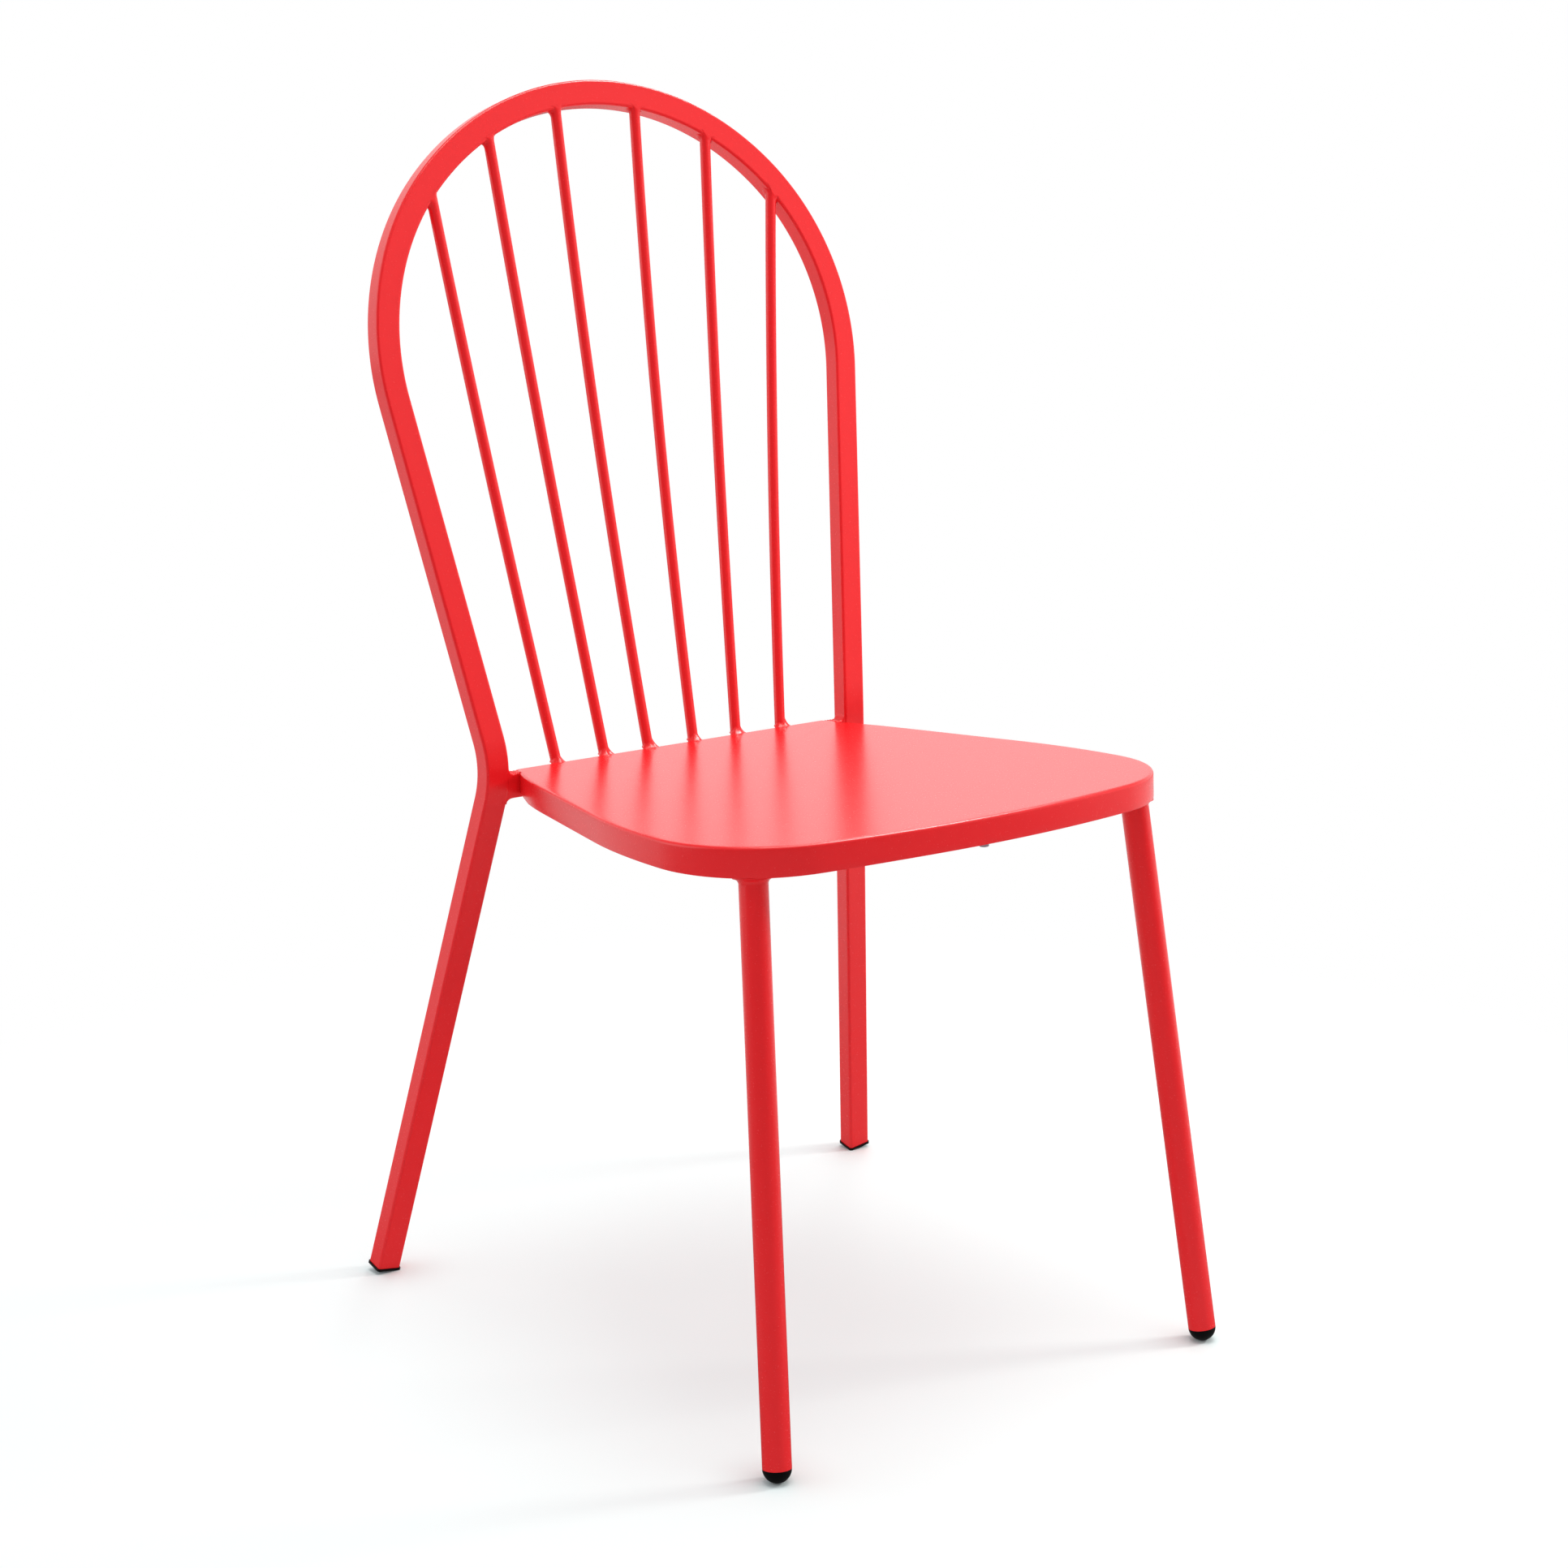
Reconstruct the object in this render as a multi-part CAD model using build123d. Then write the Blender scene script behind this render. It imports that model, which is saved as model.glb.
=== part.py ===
"""Garden chair: bent tube back hoop with rear legs, six spindles, pressed seat, two front legs.

Millimetres. +Z is up, the chair faces -Y and the origin is on the floor under the middle of its box.
"""

import math
import os

from build123d import *

# Back hoop: one rectangular tube, the wide side to the front
TUBE_WIDTH = 20.4
TUBE_DEPTH = 16.8
TUBE_CORNER = 2.0
TUBE_WALL = 1.5
HOOP_TILT = 13.81
HOOP_SETBACK = -3.53
HOOP_BELOW_SEAT = 1.55
HOOP_HALF_WIDTH = 218.9
HOOP_WIDEST_RISE = 303.8
HOOP_CROWN_OFFSET = 18.8
UPRIGHT_GAP = 13.15
KNEE_DROP = 19.7
KNEE_RADIUS = 95.0
REAR_FOOT_SPREAD = 71.4
REAR_FOOT_SETBACK = 77.65

# Rear caps: a flange under the tube's end and a stem in its bore
CAP_FLANGE = 2.1
CAP_OVERHANG = 0.7
CAP_STEM_LENGTH = 14.0
CAP_STEM_GAP = 0.1
CAP_WORN_FLAT = 0.3

# Seat: pressed sheet with a folded lip, sloping down to the rear
SEAT_FRONT_Y = -253.8
SEAT_FRONT_Z = 451.55
SEAT_SLOPE = 3.38
SEAT_DEPTH = 408.8
SEAT_HALF_WIDTH = 218.4
SEAT_FRONT_RADIUS = 774.5
SEAT_CORNER_RADIUS = 95.0
SEAT_SIDE_RADIUS = 450.0
SEAT_SIDE_TAPER = 13.5
SEAT_SIDE_STRAIGHT = 123.0
SEAT_SHEET = 1.5
SEAT_LIP_HEIGHT = 20.5
SEAT_EDGE_RADIUS = 2.5
SEAT_LIP_TAPER_LENGTH = 30.0
SEAT_LIP_TAPER_RISE = 3.0

# Rear rail: rectangular tube under the rear edge of the seat
RAIL_DEPTH = 11.0
RAIL_WALL = 1.5
RAIL_CORNER = 1.5

# Spindles: round rods from the back of the rail to the inside of the hoop
SPINDLE_DIAMETER = 8.8
SPINDLE_FOOT_X = (22.0, 64.4, 109.8)
SPINDLE_HEAD_X = (37.9, 104.0, 162.9)
SPINDLE_HEAD_DRIFT = 2.9
SPINDLE_HEAD_FORWARD = 3.9
SPINDLE_BOW = (7.8, 4.0, 3.8)
SPINDLE_RUNS = 6
SPINDLE_BITE = 0.8
SPINDLE_TAIL = 4.0
SPINDLE_OVERRUN = 7.0

# Front legs: round tube, splayed out and forward
LEG_DIAMETER = 21.3
LEG_WALL = 1.5
LEG_HEAD_ANGLE = 47.05
LEG_LIP_GAP = 2.2
LEG_HEAD_DROP = 21.55
LEG_SPLAY_OUT = 28.05
LEG_SPLAY_FORWARD = 67.6

# Front plugs: a dome as wide as the leg, with a stem in its bore
PLUG_STEM_LENGTH = 14.0
PLUG_STEM_GAP = 0.1
PLUG_WORN_FLAT = 0.25

# Stacking bumper under the middle of the front lip
BUMPER_DIAMETER = 7.2
BUMPER_SETBACK = 12.0
BUMPER_BELOW_LIP = 4.2
BUMPER_EDGE = 0.8

os.makedirs("parts", exist_ok=True)

# Seat plane: local x across, local y from the front edge to the rear, local z up
seat_plane = Plane(
    origin=(0, SEAT_FRONT_Y, SEAT_FRONT_Z),
    x_dir=(1, 0, 0),
    z_dir=(0, math.sin(math.radians(SEAT_SLOPE)), math.cos(math.radians(SEAT_SLOPE))),
)
corner_x = SEAT_HALF_WIDTH - SEAT_CORNER_RADIUS
corner_y = SEAT_FRONT_RADIUS - math.sqrt((SEAT_FRONT_RADIUS - SEAT_CORNER_RADIUS) ** 2 - corner_x**2)
front_angle = math.asin(corner_x / (SEAT_FRONT_RADIUS - SEAT_CORNER_RADIUS))
taper = math.radians(SEAT_SIDE_TAPER)
side_x = SEAT_HALF_WIDTH - SEAT_SIDE_RADIUS
rear_arc_x = side_x - SEAT_SIDE_STRAIGHT * math.sin(taper)
rear_arc_y = corner_y + SEAT_SIDE_STRAIGHT * math.cos(taper)
seat_rear_x = rear_arc_x + math.sqrt(SEAT_SIDE_RADIUS**2 - (SEAT_DEPTH - rear_arc_y) ** 2)
seat_rear_y = seat_plane.from_local_coords((0, SEAT_DEPTH, 0)).Y

# The hoop stands in a tilted plane: across is X, rise runs up the plane, front is the plane's normal
across = Vector(1, 0, 0)
rise = Vector(0, math.sin(math.radians(HOOP_TILT)), math.cos(math.radians(HOOP_TILT)))
front = Vector(0, -math.cos(math.radians(HOOP_TILT)), math.sin(math.radians(HOOP_TILT)))
hoop_base = Vector(0, seat_rear_y + HOOP_SETBACK, SEAT_FRONT_Z - HOOP_BELOW_SEAT)

# Crown and shoulder arcs meet with one tangent at 45 degrees
shoulder_radius = HOOP_HALF_WIDTH - HOOP_CROWN_OFFSET
crown_radius = shoulder_radius + HOOP_CROWN_OFFSET * math.sqrt(2)
crown_centre_rise = HOOP_WIDEST_RISE - HOOP_CROWN_OFFSET
crown_top_rise = crown_centre_rise + crown_radius

# The right upright stands beside the seat's rear corner and runs up tangent to the shoulder
knee_x = seat_rear_x + UPRIGHT_GAP + TUBE_WIDTH / 2
knee_reach = math.hypot(knee_x - HOOP_CROWN_OFFSET, HOOP_WIDEST_RISE + KNEE_DROP)
knee_bearing = math.atan2(HOOP_WIDEST_RISE + KNEE_DROP, knee_x - HOOP_CROWN_OFFSET)
lean = knee_bearing - math.acos(shoulder_radius / knee_reach)
shoulder_end = hoop_base + across * (HOOP_CROWN_OFFSET + shoulder_radius * math.cos(lean)) + rise * (
    HOOP_WIDEST_RISE - shoulder_radius * math.sin(lean)
)
upright_down = across * -math.sin(lean) - rise * math.cos(lean)
upright_length = ((shoulder_end - hoop_base).dot(rise) + KNEE_DROP) / math.cos(lean)
knee_point = shoulder_end + upright_down * upright_length
rear_foot = Vector(knee_x + REAR_FOOT_SPREAD, hoop_base.Y + REAR_FOOT_SETBACK, 0)
leg_down = (rear_foot - knee_point).normalized()
knee_angle = math.degrees(math.acos(upright_down.dot(leg_down)))
knee_axis = upright_down.cross(leg_down).normalized()
knee_tangent = KNEE_RADIUS * math.tan(math.radians(knee_angle / 2))


def turned(plane, centre, axis, angle):
    """The section plane after a bend about an axis through centre."""
    hinge = Axis((0, 0, 0), axis)
    return Plane(
        origin=centre + (plane.origin - centre).rotate(hinge, angle),
        x_dir=plane.x_dir.rotate(hinge, angle),
        z_dir=plane.z_dir.rotate(hinge, angle),
    )


def moved(plane, length):
    """The section plane after a straight run."""
    return Plane(origin=plane.origin + plane.z_dir * length, x_dir=plane.x_dir, z_dir=plane.z_dir)


# The section's planes from the crown to the right foot, the same for the tube's outside and its bore
plane_crown = Plane(origin=hoop_base + rise * crown_top_rise, x_dir=rise, z_dir=across)
crown_centre = hoop_base + rise * crown_centre_rise
plane_shoulder = turned(plane_crown, crown_centre, -front, 45)
shoulder_centre = hoop_base + across * HOOP_CROWN_OFFSET + rise * HOOP_WIDEST_RISE
shoulder_angle = 45 + math.degrees(lean)
plane_upright = turned(plane_shoulder, shoulder_centre, -front, shoulder_angle)
plane_knee = moved(plane_upright, upright_length - knee_tangent)
knee_centre = plane_knee.origin + knee_axis.cross(upright_down) * KNEE_RADIUS
plane_leg = turned(plane_knee, knee_centre, knee_axis, knee_angle)

# The leg is cut square, so that the lowest corner of its cap stands on the floor
cap_half_width = TUBE_WIDTH / 2 + CAP_OVERHANG
cap_half_depth = TUBE_DEPTH / 2 + CAP_OVERHANG
corner_drop = abs(plane_leg.x_dir.Z) * cap_half_width + abs(plane_leg.y_dir.Z) * cap_half_depth
cap_under_height = corner_drop - CAP_WORN_FLAT
leg_length = (plane_leg.origin.Z - cap_under_height) / -plane_leg.z_dir.Z - CAP_FLANGE
plane_end = moved(plane_leg, leg_length)


def hoop_half(width, depth, corner):
    """Right half of the hoop as a full bar of the given section, from the crown to the foot."""

    def section(plane):
        return plane * RectangleRounded(width, depth, corner)

    crown = revolve(section(plane_crown), Axis(crown_centre, -front), 45)
    shoulder = revolve(section(plane_shoulder), Axis(shoulder_centre, -front), shoulder_angle)
    upright = extrude(section(plane_upright), upright_length - knee_tangent, plane_upright.z_dir)
    knee = revolve(section(plane_knee), Axis(knee_centre, knee_axis), knee_angle)
    leg = extrude(section(plane_leg), leg_length, plane_leg.z_dir)
    return crown + [shoulder, upright, knee, leg]


def whole(half):
    """A right half joined to its mirror image."""
    return half + mirror(half, Plane.YZ)


hoop_bar = whole(hoop_half(TUBE_WIDTH, TUBE_DEPTH, TUBE_CORNER))
bore_width = TUBE_WIDTH - 2 * TUBE_WALL
bore_depth = TUBE_DEPTH - 2 * TUBE_WALL
bore_corner = TUBE_CORNER - TUBE_WALL
hoop_bore = whole(hoop_half(bore_width, bore_depth, bore_corner))
back_hoop = hoop_bar - hoop_bore

# Rear caps
floor_cut = Box(4 * rear_foot.X, 8 * rear_foot.Y, KNEE_RADIUS, align=(Align.CENTER, Align.CENTER, Align.MAX))
cap_outline = RectangleRounded(2 * cap_half_width, 2 * cap_half_depth, TUBE_CORNER)
cap_flange = extrude(plane_end * cap_outline, CAP_FLANGE, plane_end.z_dir)
cap_stem = extrude(
    plane_end * RectangleRounded(bore_width - CAP_STEM_GAP, bore_depth - CAP_STEM_GAP, bore_corner),
    CAP_STEM_LENGTH,
    -plane_end.z_dir,
)
rear_cap_right = cap_flange + cap_stem - floor_cut
rear_cap_left = mirror(rear_cap_right, Plane.YZ)

def seat_outline(inset, rear):
    """Plan of the seat, drawn in by inset on the front and the sides, and ending at the local depth rear."""

    def arc_point(centre_x, centre_y, radius, angle):
        return (centre_x + (radius - inset) * math.cos(angle), centre_y + (radius - inset) * math.sin(angle))

    front_mid = (0, inset)
    front_end = arc_point(0, SEAT_FRONT_RADIUS, SEAT_FRONT_RADIUS, front_angle - math.pi / 2)
    corner_mid = arc_point(corner_x, corner_y, SEAT_CORNER_RADIUS, (front_angle - math.pi / 2) / 2)
    widest = (SEAT_HALF_WIDTH - inset, corner_y)
    side_mid = arc_point(side_x, corner_y, SEAT_SIDE_RADIUS, taper / 2)
    side_end = arc_point(side_x, corner_y, SEAT_SIDE_RADIUS, taper)
    straight_end = arc_point(rear_arc_x, rear_arc_y, SEAT_SIDE_RADIUS, taper)
    rear_angle = math.asin((rear - rear_arc_y) / (SEAT_SIDE_RADIUS - inset))
    rear_mid = arc_point(rear_arc_x, rear_arc_y, SEAT_SIDE_RADIUS, (taper + rear_angle) / 2)
    rear_end = arc_point(rear_arc_x, rear_arc_y, SEAT_SIDE_RADIUS, rear_angle)

    def left(point):
        return (-point[0], point[1])

    front_edge = ThreePointArc(left(front_end), front_mid, front_end)
    right_edge = [
        ThreePointArc(front_end, corner_mid, widest),
        ThreePointArc(widest, side_mid, side_end),
        Line(side_end, straight_end),
        ThreePointArc(straight_end, rear_mid, rear_end),
    ]
    left_edge = [
        ThreePointArc(left(front_end), left(corner_mid), left(widest)),
        ThreePointArc(left(widest), left(side_mid), left(side_end)),
        Line(left(side_end), left(straight_end)),
        ThreePointArc(left(straight_end), left(rear_mid), left(rear_end)),
    ]
    rear_edge = Line(left(rear_end), rear_end)
    return make_face([front_edge, *right_edge, rear_edge, *left_edge])


rail_front = SEAT_DEPTH - RAIL_DEPTH
pan_block = extrude(seat_outline(0, SEAT_DEPTH), -SEAT_LIP_HEIGHT)
pan_rim = [edge for edge in pan_block.edges().group_by(Axis.Z)[-1] if edge.center().Y < SEAT_DEPTH - 1]
pan_block = fillet(pan_rim, SEAT_EDGE_RADIUS)
pan_hollow = extrude(seat_outline(SEAT_SHEET, SEAT_DEPTH + RAIL_DEPTH), -SEAT_LIP_HEIGHT)
pan_roof = [edge for edge in pan_hollow.edges().group_by(Axis.Z)[-1] if edge.center().Y < SEAT_DEPTH]
pan_hollow = Pos(0, 0, -SEAT_SHEET) * fillet(pan_roof, SEAT_EDGE_RADIUS - SEAT_SHEET)
rail_room = Pos(0, rail_front + RAIL_DEPTH, -SEAT_SHEET - SEAT_LIP_HEIGHT / 2) * Box(
    4 * SEAT_HALF_WIDTH, 2 * RAIL_DEPTH, SEAT_LIP_HEIGHT
)
lip_taper_angle = math.degrees(math.atan2(SEAT_LIP_TAPER_RISE, SEAT_LIP_TAPER_LENGTH))
lip_taper_start = Pos(0, rail_front - SEAT_LIP_TAPER_LENGTH, -SEAT_LIP_HEIGHT)
lip_taper = lip_taper_start * Rot(lip_taper_angle, 0, 0) * Box(
    4 * SEAT_HALF_WIDTH,
    2 * SEAT_LIP_TAPER_LENGTH,
    SEAT_LIP_HEIGHT,
    align=(Align.CENTER, Align.MIN, Align.MAX),
)
seat_pan = seat_plane * (pan_block - pan_hollow - rail_room - lip_taper)

# Rear rail, coped to the uprights at both ends
rail_height = SEAT_LIP_HEIGHT - SEAT_SHEET
rail_section = seat_plane * Pos(0, rail_front + RAIL_DEPTH / 2, -SEAT_SHEET - rail_height / 2)
rail_length = 2 * knee_point.X
rail_outside = Plane.YZ * RectangleRounded(RAIL_DEPTH, rail_height, RAIL_CORNER)
rail_bore_depth = RAIL_DEPTH - 2 * RAIL_WALL
rail_bore_height = rail_height - 2 * RAIL_WALL
rail_inside = Plane.YZ * RectangleRounded(rail_bore_depth, rail_bore_height, RAIL_CORNER / 2)
rail_bar = rail_section * extrude(rail_outside, rail_length / 2, both=True)
rail_bore = rail_section * extrude(rail_inside, rail_length, both=True)
rear_rail = (rail_bar - hoop_bar - rail_bore).solids().sort_by(SortBy.VOLUME)[-1]

# Spindles, coped to the back of the rail below and to the inside of the hoop above
inner_shoulder = shoulder_radius - TUBE_WIDTH / 2
inner_crown = crown_radius - TUBE_WIDTH / 2
rail_back = seat_plane.from_local_coords((0, SEAT_DEPTH, -SEAT_SHEET - rail_height / 2))
spindle_foot_y = rail_back.Y + SPINDLE_DIAMETER / 2 - SPINDLE_BITE


def inner_rise(distance):
    """Height up the hoop's plane of its inside at a distance from the middle."""
    if distance < crown_radius * math.sin(math.pi / 4):
        return crown_centre_rise + math.sqrt(inner_crown**2 - distance**2)
    return HOOP_WIDEST_RISE + math.sqrt(inner_shoulder**2 - (distance - HOOP_CROWN_OFFSET) ** 2)


def spindle(number):
    """One rod: 0 to 2 run from the middle to the -X side, 3 to 5 from the middle to the +X side."""
    place = number % 3
    side = -1 if number < 3 else 1
    foot = Vector(side * SPINDLE_FOOT_X[place], spindle_foot_y, rail_back.Z)
    head_x = side * SPINDLE_HEAD_X[place] + SPINDLE_HEAD_DRIFT
    head = hoop_base + across * head_x + rise * inner_rise(abs(head_x)) + front * SPINDLE_HEAD_FORWARD
    points = []
    for step in range(SPINDLE_RUNS + 1):
        share = step / SPINDLE_RUNS
        points.append(foot + (head - foot) * share - front * (SPINDLE_BOW[place] * 4 * share * (1 - share)))
    points[0] = points[0] - (points[1] - points[0]).normalized() * SPINDLE_TAIL
    points[-1] = points[-1] + (points[-1] - points[-2]).normalized() * SPINDLE_OVERRUN
    radii = []
    for before, corner, after in zip(points, points[1:], points[2:]):
        run_in = corner - before
        run_out = after - corner
        turn = math.radians(run_in.get_angle(run_out))
        radii.append(0.45 * min(run_in.length, run_out.length) / math.tan(turn / 2))
    rod_line = FilletPolyline(*points, radius=radii)
    rod = sweep(Plane(origin=rod_line @ 0, z_dir=rod_line % 0) * Circle(SPINDLE_DIAMETER / 2), path=rod_line)
    return (rod - hoop_bar - rail_bar - seat_pan).solids().sort_by(SortBy.VOLUME)[-1]


# Front legs, cut at the underside of the seat, and their plugs
corner_reach = SEAT_CORNER_RADIUS - SEAT_SHEET - LEG_DIAMETER / 2 - LEG_LIP_GAP
leg_head = Vector(
    corner_x + corner_reach * math.cos(math.radians(LEG_HEAD_ANGLE)),
    SEAT_FRONT_Y + corner_y - corner_reach * math.sin(math.radians(LEG_HEAD_ANGLE)),
    SEAT_FRONT_Z - LEG_HEAD_DROP,
)
leg_foot = Vector(leg_head.X + LEG_SPLAY_OUT, leg_head.Y - LEG_SPLAY_FORWARD, 0)
leg_up = (leg_head - leg_foot).normalized()
dome_radius = LEG_DIAMETER / 2
dome_centre = leg_foot + leg_up * ((dome_radius - PLUG_WORN_FLAT) / leg_up.Z)
leg_plane = Plane(origin=dome_centre, z_dir=leg_up)
above_seat = seat_plane * Pos(0, 0, -SEAT_SHEET) * Box(
    4 * SEAT_HALF_WIDTH, 4 * SEAT_DEPTH, SEAT_FRONT_Z, align=(Align.CENTER, Align.CENTER, Align.MIN)
)
leg_reach = 1.2 * SEAT_FRONT_Z
front_leg_right = (
    extrude(leg_plane * Circle(dome_radius), leg_reach, leg_up)
    - extrude(leg_plane * Circle(dome_radius - LEG_WALL), leg_reach, leg_up)
    - above_seat
)
plug_dome = Pos(*dome_centre) * Sphere(dome_radius)
plug_above = extrude(leg_plane * Circle(2 * dome_radius), 4 * dome_radius, leg_up)
plug_stem = extrude(leg_plane * Circle(dome_radius - LEG_WALL - PLUG_STEM_GAP / 2), PLUG_STEM_LENGTH, leg_up)
front_plug_right = plug_dome - plug_above + plug_stem - floor_cut

# Stacking bumper under the sheet, just behind the front lip
bumper_length = SEAT_LIP_HEIGHT - SEAT_SHEET + BUMPER_BELOW_LIP
bumper_top = seat_plane * Pos(0, BUMPER_SETBACK, -SEAT_SHEET)
bumper_blank = Cylinder(BUMPER_DIAMETER / 2, bumper_length, align=(Align.CENTER, Align.CENTER, Align.MAX))
seat_bumper = bumper_top * fillet(bumper_blank.edges().sort_by(Axis.Z)[0], BUMPER_EDGE)

pieces = {
    "back_hoop": back_hoop,
    "rear_rail": rear_rail,
    "seat_pan": seat_pan,
    "front_leg_right": front_leg_right,
    "front_leg_left": mirror(front_leg_right, Plane.YZ),
    "front_plug_right": front_plug_right,
    "front_plug_left": mirror(front_plug_right, Plane.YZ),
    "rear_cap_right": rear_cap_right,
    "rear_cap_left": rear_cap_left,
    "seat_bumper": seat_bumper,
}
for order, number in enumerate((2, 1, 0, 3, 4, 5), start=1):
    pieces[f"spindle_{order}"] = spindle(number)

for name, piece in pieces.items():
    piece.label = name
    export_step(piece, f"parts/{name}.step")
    box = piece.bounding_box()
    print(f"{name}: {len(piece.solids())} solid, z {box.min.Z:.2f} to {box.max.Z:.1f}")
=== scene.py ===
import math

import bmesh
import bpy
import numpy as np
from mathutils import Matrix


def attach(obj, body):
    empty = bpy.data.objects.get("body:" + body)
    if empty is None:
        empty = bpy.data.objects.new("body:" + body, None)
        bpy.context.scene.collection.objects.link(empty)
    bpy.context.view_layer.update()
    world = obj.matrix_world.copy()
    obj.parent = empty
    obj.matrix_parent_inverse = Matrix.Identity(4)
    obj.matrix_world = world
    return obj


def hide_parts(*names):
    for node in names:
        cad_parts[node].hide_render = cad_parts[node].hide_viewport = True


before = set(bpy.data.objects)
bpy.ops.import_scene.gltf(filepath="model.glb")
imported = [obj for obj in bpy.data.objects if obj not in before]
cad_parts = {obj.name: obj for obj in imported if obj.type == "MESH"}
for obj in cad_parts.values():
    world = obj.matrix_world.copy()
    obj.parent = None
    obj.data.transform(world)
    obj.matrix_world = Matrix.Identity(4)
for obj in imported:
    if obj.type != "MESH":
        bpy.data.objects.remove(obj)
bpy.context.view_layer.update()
scene = bpy.context.scene
scene.view_settings.view_transform = "Standard"

# Powder coat of the whole steel frame: polyester powder sprayed on dry and baked in an oven,
# which leaves one satin red skin with a very fine orange peel over tubes, sheet and welds alike.
# Its faint clouds and its grain are node groups, which the plastic pieces use too.
coat_deep = (0.83, 0.0088, 0.0130, 1)
coat_light = (0.86, 0.0098, 0.0145, 1)
coat_peel = {"Scale": 700.0, "Detail": 2.0, "Coarseness": 0.6, "Smoothest": 0.24, "Spread": 0.05}


def feed(tree, node, inputs):
    """Inputs of a node by name or number: a plain value is set, an output of another node is linked."""
    for socket, value in inputs.items():
        if isinstance(value, bpy.types.NodeSocket):
            tree.links.new(value, node.inputs[socket])
        else:
            node.inputs[socket].default_value = value


def add_node(tree, kind, inputs, **settings):
    """Shader node of a kind, with its settings and then its inputs."""
    node = tree.nodes.new("ShaderNode" + kind)
    for setting, value in settings.items():
        setattr(node, setting, value)
    feed(tree, node, inputs)
    return node


def new_group(name, inputs, outputs):
    """Node group with the named sockets, the outputs of its entry and its end."""
    group = bpy.data.node_groups.new(name, "ShaderNodeTree")
    for way, sockets in (("INPUT", inputs), ("OUTPUT", outputs)):
        for socket, kind in sockets.items():
            group.interface.new_socket(socket, in_out=way, socket_type="NodeSocket" + kind)
    entry = group.nodes.new("NodeGroupInput")
    end = group.nodes.new("NodeGroupOutput")
    return group, entry.outputs, end


def new_material(name):
    """Material with its node tree and its Principled shader."""
    material = bpy.data.materials.new(name)
    material.use_nodes = True
    tree = material.node_tree
    return material, tree, tree.nodes["Principled BSDF"]


clouds, entry, end = new_group(
    "soft_clouds", {"Scale": "Float", "Deep": "Color", "Light": "Color"}, {"Color": "Color"}
)
place = add_node(clouds, "TexCoord", {})
cloud = add_node(clouds, "TexNoise", {
    "Vector": place.outputs["Object"], "Scale": entry["Scale"], "Detail": 2.0
})
tint = add_node(clouds, "Mix", {
    "Factor": cloud.outputs["Fac"], "A": entry["Deep"], "B": entry["Light"]
}, data_type="RGBA")
feed(clouds, end, {"Color": tint.outputs["Result"]})

grain, entry, end = new_group(
    "fine_grain",
    {"Scale": "Float", "Detail": "Float", "Coarseness": "Float", "Smoothest": "Float", "Spread": "Float"},
    {"Roughness": "Float", "Height": "Float"},
)
place = add_node(grain, "TexCoord", {})
specks = add_node(grain, "TexNoise", {
    "Vector": place.outputs["Object"],
    "Scale": entry["Scale"],
    "Detail": entry["Detail"],
    "Roughness": entry["Coarseness"],
})
dullness = add_node(grain, "Math", {
    0: specks.outputs["Fac"], 1: entry["Spread"], 2: entry["Smoothest"]
}, operation="MULTIPLY_ADD")
feed(grain, end, {"Roughness": dullness.outputs[0], "Height": specks.outputs["Fac"]})


def add_grain(tree, shader, values, strength, depth):
    """Grain on a shader: the group drives the roughness, and a bump of its height the normal."""
    skin = add_node(tree, "Group", values, node_tree=grain)
    bump = add_node(tree, "Bump", {
        "Strength": strength, "Distance": depth, "Height": skin.outputs["Height"]
    })
    feed(tree, shader, {"Roughness": skin.outputs["Roughness"], "Normal": bump.outputs["Normal"]})


red_coat, tree, shader = new_material("red_powder_coat")
skin = add_node(tree, "Group", {"Scale": 9.0, "Deep": coat_deep, "Light": coat_light}, node_tree=clouds)
feed(tree, shader, {"IOR": 1.5, "Base Color": skin.outputs["Color"]})
add_grain(tree, shader, coat_peel, strength=0.12, depth=0.0002)

# Back hoop and rear legs: one rectangular steel tube with its wide side to the front. It is bent round
# the hoop, runs straight down both uprights, is kicked out and back at the knees beside the seat,
# and is cut square at the feet.
tube_width = 0.0204
tube_depth = 0.0168
tube_corner = 0.0020
hoop_tilt = math.radians(13.81)
hoop_base = np.array([0.0, 0.15075, 0.450])
hoop_half_width = 0.2189
widest_rise = 0.3038
crown_offset = 0.0188
knee_x = 0.17419
knee_drop = 0.0197
knee_radius = 0.095
rear_foot = np.array([0.24559, 0.2284, 0.0])
cap_flange = 0.0021
cap_overhang = 0.0007
cap_worn = 0.0003
across = np.array([1.0, 0.0, 0.0])
rise = np.array([0.0, math.sin(hoop_tilt), math.cos(hoop_tilt)])
front = np.array([0.0, -math.cos(hoop_tilt), math.sin(hoop_tilt)])


def unit(vectors):
    """Vectors divided by their lengths."""
    return vectors / np.linalg.norm(vectors, axis=-1, keepdims=True)


def turned(vector, axis, angles):
    """One vector turned round a unit axis, for each angle a:
    v cos a + (axis x v) sin a + axis (axis . v)(1 - cos a)."""
    angles = np.asarray(angles)[:, None]
    along = axis * np.dot(axis, vector)
    return vector * np.cos(angles) + np.cross(axis, vector) * np.sin(angles) + along * (1 - np.cos(angles))


def ring(radius, sides):
    """Points of a circle, counted anticlockwise."""
    angles = np.arange(sides) * (2 * math.pi / sides)
    return radius * np.stack([np.cos(angles), np.sin(angles)], axis=-1)


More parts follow.
